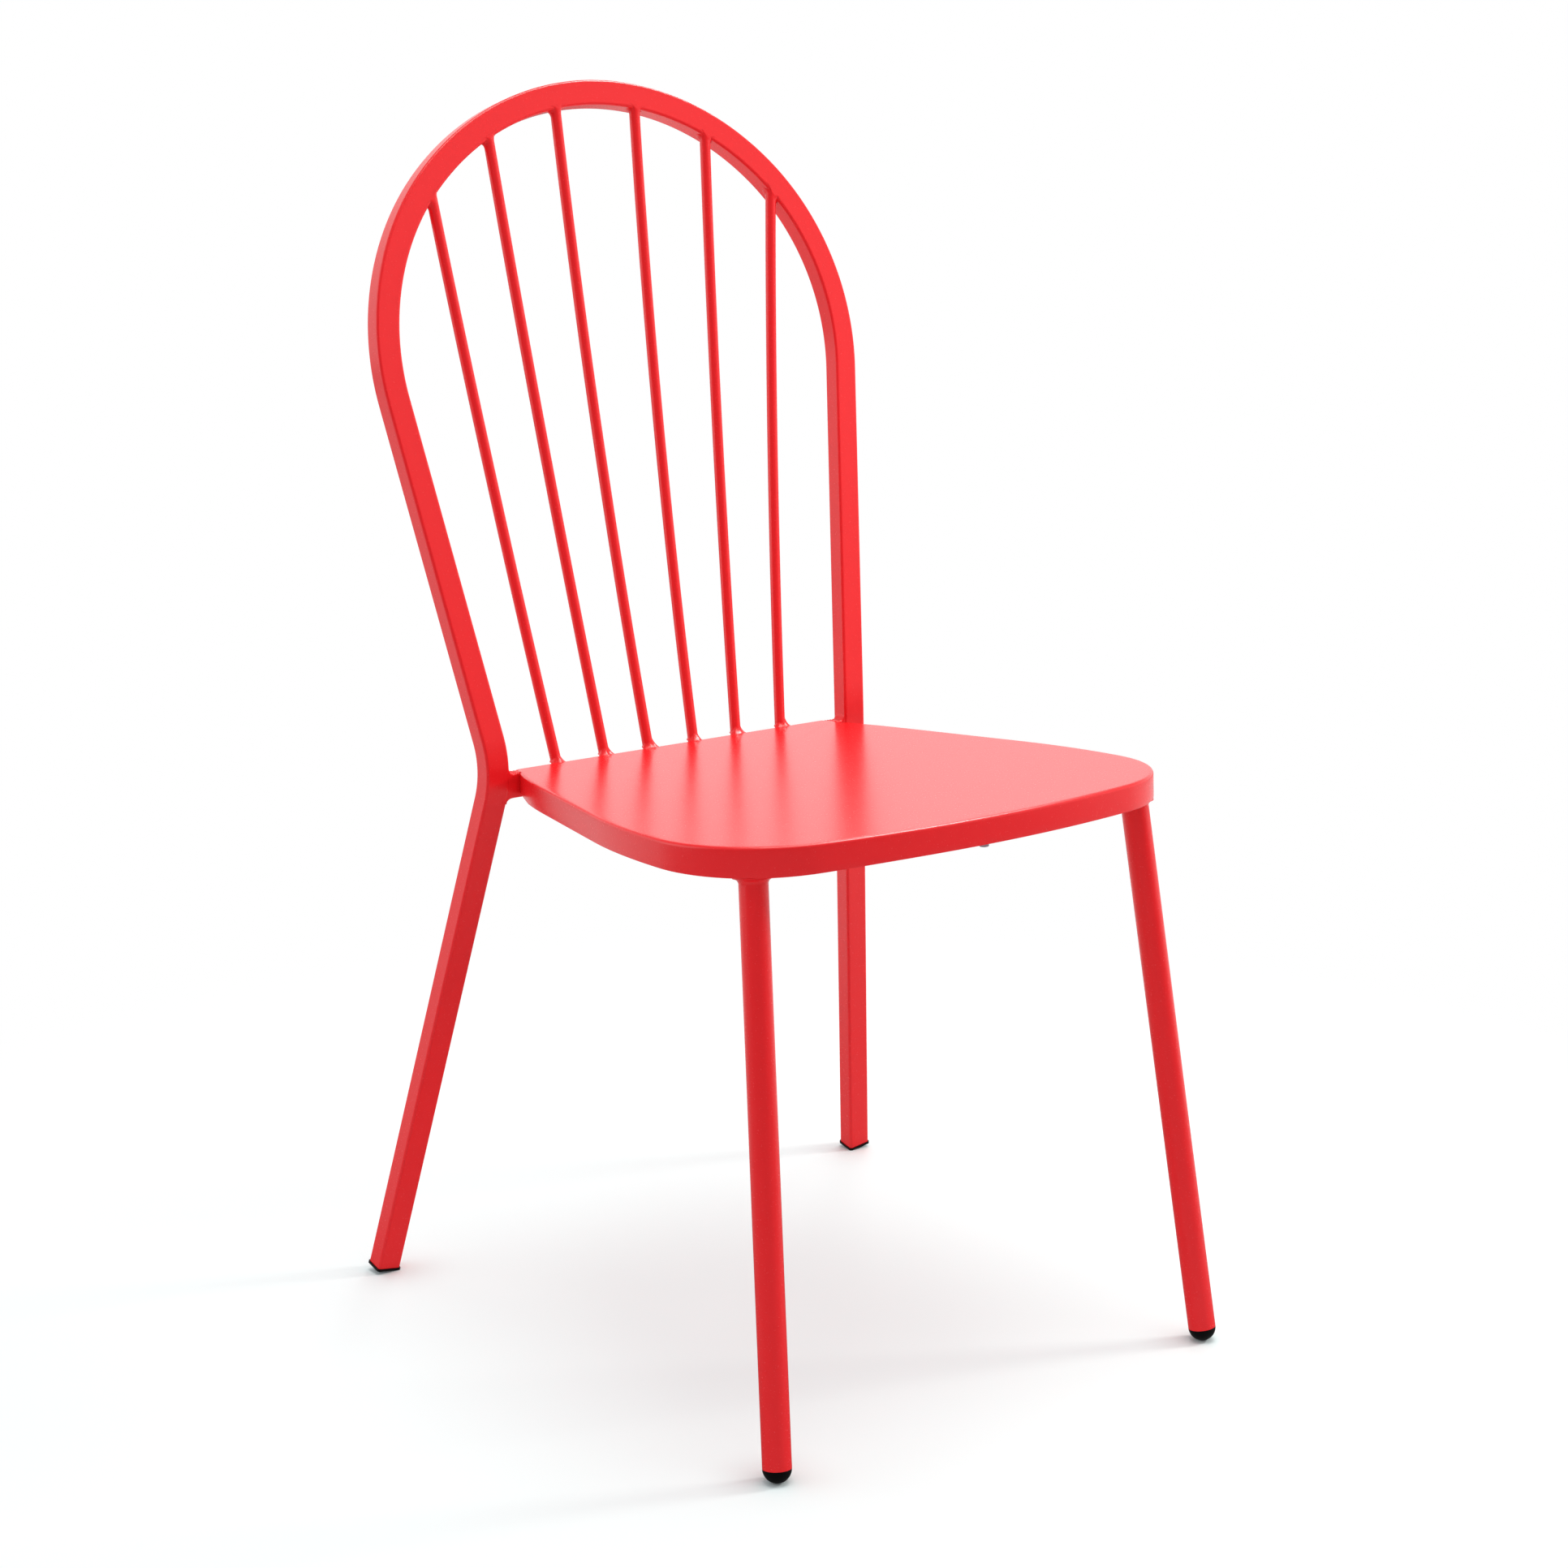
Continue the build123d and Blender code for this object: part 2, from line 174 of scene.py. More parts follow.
def rounded_box(width, depth, corner, steps=7, ease=0.0004):
    """Outline of a rectangle with quarter-circle corners, anticlockwise. Two more points just inside
    each flat side keep its shading flat."""
    turn = np.linspace(0, math.pi / 2, steps)
    arc = corner * np.stack([np.cos(turn), np.sin(turn)], axis=-1)
    before = arc[:1] - [0.0, ease]
    after = arc[-1:] - [ease, 0.0]
    arc = np.concatenate([before, arc, after])
    inner = np.array([width / 2 - corner, depth / 2 - corner])
    sides = []
    for quarter in range(4):
        c, s = math.cos(quarter * math.pi / 2), math.sin(quarter * math.pi / 2)
        spun = arc @ np.array([[c, s], [-s, c]])
        sides.append(spun + inner * np.sign([c - s, s + c]))
    return np.concatenate(sides)


def carried(path, x_dirs, y_dirs, outline):
    """Grid of a profile carried along a path: path point + x direction times u + y direction times v.
    The directions and the outline are one for all stations, or one for each."""
    x_dirs = np.broadcast_to(x_dirs, path.shape)
    y_dirs = np.broadcast_to(y_dirs, path.shape)
    outline = np.broadcast_to(outline, (len(path), *outline.shape[-2:]))
    return path[:, None] + x_dirs[:, None] * outline[..., :1] + y_dirs[:, None] * outline[..., 1:]


def grid_faces(rows, columns):
    """Four-sided faces of a grid of rows and columns, closed round the columns."""
    here = np.arange(rows * columns).reshape(rows, columns)
    beside = np.roll(here, -1, axis=1)
    return np.stack([here[:-1], beside[:-1], beside[1:], here[1:]], axis=-1).reshape(-1, 4).tolist()


def steel_piece(name, points, faces, sharp=40.0):
    """Mesh object of the given points and faces in the red coat, smooth up to the sharp angle,
    riding on the one rigid body."""
    mesh = bpy.data.meshes.new(name)
    mesh.from_pydata(points.reshape(-1, 3), [], faces)
    work = bmesh.new()
    work.from_mesh(mesh)
    bmesh.ops.remove_doubles(work, verts=work.verts, dist=1e-6)
    bmesh.ops.dissolve_degenerate(work, edges=work.edges, dist=1e-7)
    work.to_mesh(mesh)
    work.free()
    mesh.shade_smooth()
    mesh.set_sharp_from_angle(angle=math.radians(sharp))
    mesh.materials.append(red_coat)
    piece = bpy.data.objects.new(name, mesh)
    scene.collection.objects.link(piece)
    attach(piece, "root")
    return piece


def tube(name, grid):
    """Closed skin of a carried profile, with a flat face over each end."""
    rows, columns = grid.shape[:2]
    first = list(range(columns))[::-1]
    last = list(range((rows - 1) * columns, rows * columns))
    return steel_piece(name, grid, grid_faces(rows, columns) + [first, last])


shoulder_radius = hoop_half_width - crown_offset
crown_radius = shoulder_radius + crown_offset * math.sqrt(2)
crown_centre = hoop_base + rise * (widest_rise - crown_offset)
shoulder_centre = hoop_base + across * crown_offset + rise * widest_rise
knee_reach = math.hypot(knee_x - crown_offset, widest_rise + knee_drop)
lean = math.atan2(widest_rise + knee_drop, knee_x - crown_offset) - math.acos(shoulder_radius / knee_reach)


def hoop_arc(centre, radius, angles):
    """Stations of an arc in the hoop's plane, with their outward directions.
    Angles run from the top to +X: outward is rise cos a + across sin a."""
    outward = rise * np.cos(angles)[:, None] + across * np.sin(angles)[:, None]
    return centre + radius * outward, outward


crown_path, crown_out = hoop_arc(crown_centre, crown_radius, np.radians(np.linspace(0, 45, 31)))
shoulder_angles = np.linspace(math.pi / 4, math.pi / 2 + lean, 37)[1:]
shoulder_path, shoulder_out = hoop_arc(shoulder_centre, shoulder_radius, shoulder_angles)
upright_down = -math.sin(lean) * across - math.cos(lean) * rise
knee_point = hoop_base + across * knee_x - rise * knee_drop
rear_leg_down = unit(rear_foot - knee_point)
knee_axis = unit(np.cross(upright_down, rear_leg_down))
knee_angle = math.acos(np.dot(upright_down, rear_leg_down))
upright_end = knee_point - upright_down * (knee_radius * math.tan(knee_angle / 2))
upright_steps = np.linspace(0, 1, 25)[1:, None]
upright_path = shoulder_path[-1] + (upright_end - shoulder_path[-1]) * upright_steps
upright_out = np.broadcast_to(shoulder_out[-1], upright_path.shape)
knee_turns = np.linspace(0, knee_angle, 17)[1:]
knee_centre = upright_path[-1] + np.cross(knee_axis, upright_down) * knee_radius
knee_path = knee_centre + turned(upright_path[-1] - knee_centre, knee_axis, knee_turns)
knee_out = turned(shoulder_out[-1], knee_axis, knee_turns)
knee_face = turned(front, knee_axis, knee_turns)
corner_drop = abs(knee_out[-1, 2]) * (tube_width / 2 + cap_overhang)
corner_drop = corner_drop + abs(knee_face[-1, 2]) * (tube_depth / 2 + cap_overhang)
rear_leg_length = (knee_path[-1, 2] - corner_drop + cap_worn) / -rear_leg_down[2] - cap_flange
rear_leg_path = knee_path[-1] + rear_leg_down * (rear_leg_length * np.linspace(0, 1, 31)[1:, None])
rear_leg_out = np.broadcast_to(knee_out[-1], rear_leg_path.shape)
rear_leg_face = np.broadcast_to(knee_face[-1], rear_leg_path.shape)
half_path = np.concatenate([crown_path, shoulder_path, upright_path, knee_path, rear_leg_path])
half_out = np.concatenate([crown_out, shoulder_out, upright_out, knee_out, rear_leg_out])
flat_count = len(crown_path) + len(shoulder_path) + len(upright_path)
half_face = np.concatenate([np.broadcast_to(front, (flat_count, 3)), knee_face, rear_leg_face])


def both_sides(half):
    """A right half from the crown to the foot, led by its mirror image from the other foot to the crown."""
    return np.concatenate([half[:0:-1] * [-1, 1, 1], half])


hoop_outline = rounded_box(tube_width, tube_depth, tube_corner)
hoop_grid = carried(both_sides(half_path), both_sides(half_out), both_sides(half_face), hoop_outline)
hoop = tube("hoop_tube", hoop_grid)
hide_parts("back_hoop")

# Seat pan: one steel sheet, flat on top, with its front and sides folded down into a lip round a small edge.
# The lip is trimmed a little higher where it runs out to the rear rail, and the rear edge is cut straight.
# At the left front corner, over the leg's weld, the lip hangs a little lower.
seat_front = np.array([0.0, -0.2538, 0.45155])
seat_slope = math.radians(3.38)
seat_depth = 0.4088
seat_half_width = 0.2184
front_radius = 0.7745
corner_radius = 0.095
side_radius = 0.450
side_taper = math.radians(13.5)
side_straight = 0.123
sheet = 0.0015
edge_radius = 0.0025
cut_edge_radius = 0.0006
rear_corner = 0.0004
lip_height = 0.0205
lip_taper_length = 0.030
lip_taper_rise = 0.003
lip_end_gap = 0.00005
least_radius = 0.0001
least_wall = 0.00001
sag_depth = 0.0018
sag_spread = 0.075
sag_place = np.array([0.7, 0.72])
spine_front = 0.11
spine_rear = 0.30
rail_depth = 0.011
seat_back_dir = np.array([0.0, math.cos(seat_slope), -math.sin(seat_slope)])
seat_up_dir = np.array([0.0, math.sin(seat_slope), math.cos(seat_slope)])


def on_seat(x, y, z):
    """Place of a point given across, back from the seat's front edge and above its top face."""
    x, y, z = np.broadcast_arrays(x, y, z)
    return seat_front + x[..., None] * across + y[..., None] * seat_back_dir + z[..., None] * seat_up_dir


def ramp(values, start, run):
    """Share that grows evenly from 0 at the start to 1 where the run ends: (value - start) / run."""
    return np.clip((values - start) / run, 0, 1)


def arc_rim(centre_x, centre_y, radius, turn):
    """Points of an arc of the seat's plan, centre + radius (cos, sin), with their outward directions."""
    outward = np.stack([np.cos(turn), np.sin(turn)], axis=-1)
    return np.array([centre_x, centre_y]) + radius * outward, outward


def all_round(half, mirror):
    """A right half of the rim from the front's middle to the rear's, then its mirror image back."""
    return np.concatenate([half, half[-2:0:-1] * mirror])


corner_x = seat_half_width - corner_radius
corner_y = front_radius - math.sqrt((front_radius - corner_radius) ** 2 - corner_x**2)
front_angle = math.asin(corner_x / (front_radius - corner_radius))
side_x = seat_half_width - side_radius
rear_arc_x = side_x - side_straight * math.sin(side_taper)
rear_arc_y = corner_y + side_straight * math.cos(side_taper)
rail_front = seat_depth - rail_depth
lip_taper_start = rail_front - lip_taper_length
front_turn = np.linspace(-math.pi / 2, front_angle - math.pi / 2, 25)
corner_turn = np.linspace(front_angle - math.pi / 2, 0, 29)[1:]
side_turn = np.linspace(0, side_taper, 15)[1:]
rear_y = np.concatenate([
    np.linspace(rear_arc_y + side_radius * math.sin(side_taper), lip_taper_start, 5),
    np.linspace(lip_taper_start, rail_front - lip_end_gap, 9)[1:],
    [rail_front + lip_end_gap, seat_depth - rear_corner],
])
rear_turn = np.arcsin((rear_y - rear_arc_y) / side_radius)
front_rim, front_out = arc_rim(0.0, front_radius, front_radius, front_turn)
corner_rim, corner_out = arc_rim(corner_x, corner_y, corner_radius, corner_turn)
side_rim, side_out = arc_rim(side_x, corner_y, side_radius, side_turn)
curve_rim, curve_out = arc_rim(rear_arc_x, rear_arc_y, side_radius, rear_turn)
rear_x = curve_rim[-1, 0] * np.linspace(1, 0, 40)[1:]
rear_rim = np.stack([rear_x, np.full_like(rear_x, seat_depth)], axis=-1)
rear_out = np.broadcast_to([0.0, 1.0], rear_rim.shape)
half_rim = np.concatenate([front_rim, corner_rim, side_rim, curve_rim, rear_rim])
half_rim_out = np.concatenate([front_out, corner_out, side_out, curve_out, rear_out])
past_lip = half_rim[:, 1] > rail_front
half_lip = lip_height - lip_taper_rise * ramp(half_rim[:, 1], lip_taper_start, lip_taper_length)
half_lip = np.where(past_lip, sheet, half_lip)
half_edge = np.where(past_lip, cut_edge_radius, edge_radius)
rim = all_round(half_rim, [-1, 1])
rim_out = all_round(half_rim_out, [-1, 1])
rim_count = len(rim)
sag_centre = np.array([-corner_x, corner_y]) - sag_place * corner_radius
sag = sag_depth * np.exp(-np.sum((rim - sag_centre) ** 2, axis=-1) / sag_spread**2)
lip = (all_round(half_lip, 1) + sag * (rim[:, 1] < rail_front))[:, None]
edge = all_round(half_edge, 1)[:, None]
fold = np.linspace(0, math.pi / 2, 9)
hem = np.linspace(0, math.pi, 7)
wall = np.linspace(0, 1, 5)[1:4]
hem_radius = sheet / 2
inner_edge = np.maximum(edge - sheet, least_radius)
lip_low = np.maximum(lip - hem_radius, edge + least_wall)
roof_low = np.minimum(sheet + inner_edge, lip_low - least_wall)
inset = np.concatenate([
    edge * (1 - np.sin(fold)),
    np.zeros((rim_count, len(wall))),
    np.broadcast_to(hem_radius * (1 - np.cos(hem)), (rim_count, len(hem))),
    np.full((rim_count, len(wall)), sheet),
    sheet + inner_edge * (1 - np.cos(fold)),
], axis=1)
drop = np.concatenate([
    edge * (1 - np.cos(fold)),
    edge + (lip_low - edge) * wall,
    lip_low + hem_radius * np.sin(hem),
    lip_low + (roof_low - lip_low) * wall,
    roof_low - (roof_low - sheet) * np.sin(fold),
], axis=1)
spine = np.stack([np.zeros(rim_count), np.clip(rim[:, 1], spine_front, spine_rear)], axis=-1)
shares = np.array([1.0, 0.85, 0.6, 0.3, 0.08, 0.02])


def toward_spine(starts, shares):
    """Rows between the seat's spine and points near its rim: spine times share + start times (1 - share)."""
    return spine[:, None] * shares[:, None] + starts[:, None] * (1 - shares[:, None])


top_rows = toward_spine(rim - rim_out * edge, shares)
skin_rows = rim[:, None] - rim_out[:, None] * inset[..., None]
under_rows = toward_spine(skin_rows[:, -1], shares[::-1])
plan = np.concatenate([top_rows, skin_rows, under_rows], axis=1)
flat_rows = np.zeros((rim_count, len(shares)))
depth_rows = np.concatenate([flat_rows, drop, flat_rows + sheet], axis=1)
seat_grid = np.swapaxes(on_seat(plan[..., 0], plan[..., 1], -depth_rows), 0, 1)[:, ::-1]
seat = steel_piece("seat_sheet", seat_grid, grid_faces(*seat_grid.shape[:2]), sharp=50.0)
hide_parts("seat_pan")

# Rear rail: a rectangular tube across the frame under the rear edge of the seat. Its ends are welded
# to the uprights, and the welds run out as fillets above and below, with a bead beside the seat's corner.
rail_height = lip_height - sheet
rail_corner = 0.0015
rail_plain_end = 0.142
rail_fine_start = 0.143
rail_reach = 0.1720
upright_side_high = 0.1662
upright_side_low = 0.1682
weld_reach_high = 0.0048
weld_rise_high = 0.0066
weld_reach_low = 0.0066
weld_rise_low = 0.0042
bead_start = 0.144
bead_run = 0.006
bead_height = 0.0011
brow_start = 0.154
brow_run = 0.012
brow_depth = 0.0022


def fillet(gap, reach, height):
    """Quarter of an ellipse, hollow side out, zero beyond its reach:
    height (1 - sqrt(1 - (1 - gap / reach) squared))."""
    near = 1 - np.clip(gap / reach, 0, 1)
    return height * (1 - np.sqrt(1 - near**2))


rail_x = np.concatenate([np.linspace(0, rail_plain_end, 12), np.linspace(rail_fine_start, rail_reach, 80)])
rail_x = np.concatenate([-rail_x[:0:-1], rail_x])
rail_out = np.abs(rail_x)
bead_ripple = 1 + 0.22 * np.sin(rail_x * 2300) + 0.1 * np.sin(rail_x * 5200 + 1)
rail_high = fillet(upright_side_high - rail_out, weld_reach_high, weld_rise_high)
rail_high = rail_high + bead_height * ramp(rail_out, bead_start, bead_run) * bead_ripple
rail_low = fillet(upright_side_low - rail_out, weld_reach_low, weld_rise_low)
rail_outline = rounded_box(rail_depth, rail_height, rail_corner)
rail_u, rail_v = rail_outline[:, 0], rail_outline[:, 1]
rail_grow = 2 * np.where(rail_v > 0, rail_high[:, None], rail_low[:, None]) / rail_height
on_brow = (rail_v > 0) & (rail_u < 0)
rail_brow = ramp(rail_out, brow_start, brow_run)[:, None] * np.where(on_brow, brow_depth, 0.0)
rail_outlines = np.stack([rail_u - rail_brow, rail_v * (1 + rail_grow)], axis=-1)
rail_path = on_seat(rail_x, seat_depth - rail_depth / 2, -sheet - rail_height / 2)
rail = tube("rear_rail_tube", carried(rail_path, seat_back_dir, seat_up_dir, rail_outlines))
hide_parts("rear_rail")

# Spindles: six round rods that fan out upwards and bow back a little. Each is coped to the back of the rail
# below and to the inside of the hoop above, flush with the hoop's front, and welded at both ends.
rod_radius = 0.0044
rod_foot_x = (0.0220, 0.0644, 0.1098)
rod_head_x = (0.0379, 0.1040, 0.1629)
rod_head_drift = 0.0029
rod_head_forward = 0.0039
rod_bow = (0.0078, 0.0040, 0.0038)
rod_bite = 0.0008
rod_past_foot = 0.008
rod_past_head = 0.007
rod_share = np.linspace(-rod_past_foot, 1 + rod_past_head, 60)[:, None]
rail_rear = on_seat(0.0, seat_depth, -sheet - rail_height / 2)
rods = []
for number, (side, rank) in enumerate(((-1, 2), (-1, 1), (-1, 0), (1, 0), (1, 1), (1, 2)), start=1):
    foot = np.array([side * rod_foot_x[rank], rail_rear[1] + rod_radius - rod_bite, rail_rear[2]])
    head_x = side * rod_head_x[rank] + rod_head_drift
    on_crown = abs(head_x) < crown_radius * math.sin(math.pi / 4)
    arc_radius = (crown_radius if on_crown else shoulder_radius) - tube_width / 2
    arc_x = 0.0 if on_crown else math.copysign(crown_offset, head_x)
    arc_rise = widest_rise - crown_offset if on_crown else widest_rise
    arc_centre = hoop_base + across * arc_x + rise * arc_rise
    head_rise = arc_rise + math.sqrt(arc_radius**2 - (head_x - arc_x) ** 2)
    head = hoop_base + across * head_x + rise * head_rise + front * rod_head_forward
    bow = rod_bow[rank] * 4 * rod_share * (1 - rod_share)
    path = foot + (head - foot) * rod_share - front * bow
    along = unit(np.gradient(path, axis=0))
    y_dirs = unit(front - along * (along @ front)[:, None])
    x_dirs = np.cross(y_dirs, along)
    rod = tube(f"spindle_rod_{number}", carried(path, x_dirs, y_dirs, ring(rod_radius, 28)))
    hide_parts(f"spindle_{number}")
    rods.append((head, arc_centre, arc_radius, path, along))

# Welds of the spindles: a small concave bead round each head, cut off flush with the hoop's front,
# and a lumpier one in front of each foot, where the rod meets the rear edge of the seat.
head_bead_length = 0.0050
head_bead_spread = 0.0042
head_bead_sink = 0.0001
hoop_sink = 0.0002
flush_room = 0.0001
edge_cover = 1.5 * tube_corner
foot_bead_low = 0.0012
foot_bead_rise = 0.0036
foot_bead_narrow = 0.0008
foot_bead_widening = 0.0032
foot_bead_sink = 0.0002
foot_bead_toe = np.array([0.0, 0.0, 0.0006])
foot_bead_hollow = 0.0006
seat_level = seat_front[2] - seat_depth * math.sin(seat_slope)
around = np.linspace(0, 2 * math.pi, 33)[:-1]
facing = np.stack([np.cos(around), np.sin(around), 0 * around], axis=-1)
to_front = np.clip(0.25 - np.sin(around), 0, 1)
to_right = 0.5 + 0.5 * np.cos(around + 0.6)
blend = np.linspace(0, 1, 8)[:, None, None]


def hollow(near, corner, far):
    """Concave bead: (1 - t) squared times near, 2 t (1 - t) times the corner, t squared times far."""
    return near * (1 - blend) ** 2 + 2 * corner * blend * (1 - blend) + far * blend**2


def onto_arc(points, way, centre, radius):
    """Points moved along the rod until they lie on the inside of the hoop's arc."""
    offset = points - centre
    flat = np.stack([offset @ across, offset @ rise], axis=-1)
    step = np.array([way @ across, way @ rise])
    a = step @ step
    b = flat @ step
    c = np.sum(flat**2, axis=-1) - radius**2
    return points + ((-b + np.sqrt(b**2 - a * c)) / a)[:, None] * way


def head_bead(number, head, arc_centre, arc_radius, way):
    """Bead from a rod's skin to the inside of the hoop, longer where they meet at an acute angle.
    It covers the hoop's rounded edge, and what stands proud of the hoop's front is pushed back."""
    sideways = unit(np.cross(front, way))
    outward = np.cos(around)[:, None] * sideways + np.sin(around)[:, None] * unit(np.cross(way, sideways))
    acute = np.maximum(outward @ unit(head - arc_centre), 0)
    waves = 0.22 * np.sin(2 * around + 1.7 * number) + 0.1 * np.sin(5 * around + number)
    length = head_bead_length * (1 + acute + waves)[:, None]
    spread = head_bead_spread * (1 + 0.2 * np.sin(2 * around + 0.9 * number))[:, None]
    over_edge = way * (edge_cover * np.clip(2 * (outward @ front), 0, 1))[:, None]
    corner = onto_arc(head + outward * (rod_radius - head_bead_sink), way, arc_centre, arc_radius)
    far = onto_arc(head + outward * (rod_radius + spread), way, arc_centre, arc_radius + hoop_sink)
    bead = hollow(corner - way * length, corner + over_edge, far + over_edge)
    proud = np.maximum((bead - hoop_base) @ front - (tube_depth / 2 + flush_room), 0)
    return (bead - proud[..., None] * front)[:, ::-1]


def foot_bead(number, path, along):
    """Bead round a rod at the level of the seat's rear edge, lumpy by two sines of the angle round the rod,
    and higher and wider to the front and the right."""
    step = np.argmin(np.abs(path[:, 2] - seat_level))
    way = along[step]
    centre = path[step] + way * ((seat_level - path[step, 2]) / way[2])
    lumps = 1 + 0.25 * np.sin(3 * around + 2.1 * number) + 0.12 * np.sin(7 * around + number)
    high = ((foot_bead_low + foot_bead_rise * to_front * (0.5 + to_right)) * lumps)[:, None]
    wide = ((foot_bead_narrow + foot_bead_widening * to_front * (0.4 + to_right)) * lumps)[:, None]
    near = centre + facing * (rod_radius - foot_bead_sink) + way * high
    corner = centre + facing * (rod_radius + 0.3 * wide) + way * foot_bead_hollow
    far = centre + facing * (rod_radius + wide) - foot_bead_toe
    return hollow(near, corner, far)[::-1]


def bead_rings(name, beads):
    """One mesh of several open rings of bead, each a grid closed round its columns."""
    grids = np.stack(beads)
    count, rows, columns = grids.shape[:3]
    ring_faces = np.array(grid_faces(rows, columns))
    faces = np.concatenate([ring_faces + order * rows * columns for order in range(count)])
    steel_piece(name, grids, faces.tolist(), sharp=80.0)


head_beads = []
foot_beads = []
for number, (head, arc_centre, arc_radius, path, along) in enumerate(rods):
    head_beads.append(head_bead(number, head, arc_centre, arc_radius, along[-1]))
    foot_beads.append(foot_bead(number, path, along))
bead_rings("spindle_head_welds", head_beads)
bead_rings("spindle_foot_welds", foot_beads)

# Front legs: round tubes splayed outwards and forwards, welded under the corners of the seat inside the lip.
# The weld shows below the lip as a short flare of the tube.
leg_radius = 0.01065
leg_head_angle = math.radians(47.05)
leg_lip_gap = 0.0022
leg_head_drop = 0.02155
leg_splay_out = 0.02805
leg_splay_forward = 0.0676
leg_fine_length = 0.040
dome_worn = 0.00025
flare_width = 0.0042
flare_full = 0.0030
flare_reach = 0.0040
flare_end = 0.0016
left_sag = 0.0016
corner_reach = corner_radius - sheet - leg_radius - leg_lip_gap
leg_head = np.array([
    corner_x + corner_reach * math.cos(leg_head_angle),
    seat_front[1] + corner_y - corner_reach * math.sin(leg_head_angle),
    seat_front[2] - leg_head_drop,
])
leg_foot = np.array([leg_head[0] + leg_splay_out, leg_head[1] - leg_splay_forward, 0.0])
leg_up = unit(leg_head - leg_foot)
leg_start = leg_foot + leg_up * ((leg_radius - dome_worn) / leg_up[2])
under_seat = seat_front - sheet * seat_up_dir
leg_reach = np.dot(under_seat - leg_start, seat_up_dir) / np.dot(leg_up, seat_up_dir)
leg_run = np.concatenate([
    np.linspace(0, leg_reach - leg_fine_length, 30),
    np.linspace(leg_reach - leg_fine_length, leg_reach, 81)[1:],
])
for side, name, sag_here in ((1, "right", 0.0), (-1, "left", left_sag)):
    below_lip = leg_reach - leg_run - (lip_height - sheet) - sag_here
    flare = fillet(below_lip - flare_full, flare_reach, flare_width) * (below_lip > flare_end)
    mirror = np.array([side, 1, 1])
    leg_y = unit(np.array([0.0, -1.0, 0.0]) + leg_up * leg_up[1]) * mirror
    leg_x = np.cross(leg_y, leg_up * mirror)
    leg_path = (leg_start + leg_up * leg_run[:, None]) * mirror
    leg_outlines = ring(1.0, 48) * (leg_radius + flare)[:, None, None]
    leg = tube(f"front_leg_tube_{name}", carried(leg_path, leg_x, leg_y, leg_outlines))
    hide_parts(f"front_leg_{name}")

# Feet: moulded black plastic, domed plugs in the round front legs and thin caps on the square-cut rear legs,
# pushed in by hand and rubbed a little paler where they stand.
foot_names = ("front_plug_left", "front_plug_right", "rear_cap_left", "rear_cap_right")
black_new = (0.0012, 0.0012, 0.0014, 1)
black_worn = (0.004, 0.0036, 0.0036, 1)
black_stipple = {"Scale": 900.0, "Detail": 3.0, "Coarseness": 0.5, "Smoothest": 0.34, "Spread": 0.16}
worn_height = 0.006


def ranged(tree, value, reach, levels, way="LINEAR"):
    """Output of a Map Range node: the first level at the reach's start, the second at its end."""
    return add_node(tree, "MapRange", {
        "Value": value,
        "From Min": reach[0],
        "From Max": reach[1],
        "To Min": levels[0],
        "To Max": levels[1],
    }, interpolation_type=way).outputs["Result"]


def dress(name, material):
    """Gives a CAD node its material."""
    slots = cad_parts[name].data.materials
    slots.clear()
    slots.append(material)


black, tree, shader = new_material("black_moulded_plastic")
place = add_node(tree, "TexCoord", {})
height = add_node(tree, "SeparateXYZ", {"Vector": place.outputs["Object"]})
worn = ranged(tree, height.outputs["Z"], (worn_height, 0.0), (0.0, 1.0))
colour = add_node(tree, "Mix", {"Factor": worn, "A": black_new, "B": black_worn}, data_type="RGBA")
feed(tree, shader, {"IOR": 1.46, "Specular IOR Level": 0.2, "Base Color": colour.outputs["Result"]})
add_grain(tree, shader, black_stipple, strength=0.1, depth=0.0001)
for name in foot_names:
    dress(name, black)

# Stacking bumper: a small peg of soft clear plastic, slightly clouded. It stands on the underside
# of the sheet, and its lower end shows under the middle of the front lip.
clear_deep = (0.36, 0.33, 0.39, 1)
clear_light = (0.55, 0.52, 0.58, 1)
clear, tree, shader = new_material("clear_soft_plastic")
haze = add_node(tree, "Group", {"Scale": 300.0, "Deep": clear_deep, "Light": clear_light}, node_tree=clouds)
feed(tree, shader, {
    "Transmission Weight": 0.3, "IOR": 1.45, "Roughness": 0.3, "Base Color": haze.outputs["Color"]
})
dress("seat_bumper", clear)

# Studio floor: a pale sheet. Seen directly it is paler and lifted towards white, fully so away from the
# chair and not at all close to the feet, which leaves a light soft shadow. In gloss it shows a painted
# reflection instead: a glow with painted shade close under the chair, darker in front of it and far behind.
floor_half = 6.0
floor_plain = (0.76, 0.785, 0.81, 1)
floor_seen = (0.835, 0.92, 0.935, 1)
view_way = (0.589, 0.808, 0.0)
foot_sole = 0.004
contact_reach = (0.01, 0.06)
lift_reach = (0.5, 1.05)
lift_levels = (0.45, 1.0)
front_reach = (-0.5, 0.6)
front_levels = (0.04, 0.9)
far_reach = (1.7, 2.6)
far_levels = (1.0, 0.2)
# Painted shade of the chair in the floor's reflection: dark near the middle, full glow further out.
painted_shade_reach = (0.25, 0.65)
painted_shade_levels = (0.3, 1.0)
gloss_share = 0.85


def worked(tree, operation, first, second):
    """Output of a Math node on two values."""
    return add_node(tree, "Math", {0: first, 1: second}, operation=operation).outputs[0]


def measured(tree, operation, vector, fixed):
    """Number from a Vector Math node on a vector and a fixed one."""
    return add_node(tree, "VectorMath", {0: vector, 1: fixed}, operation=operation).outputs["Value"]


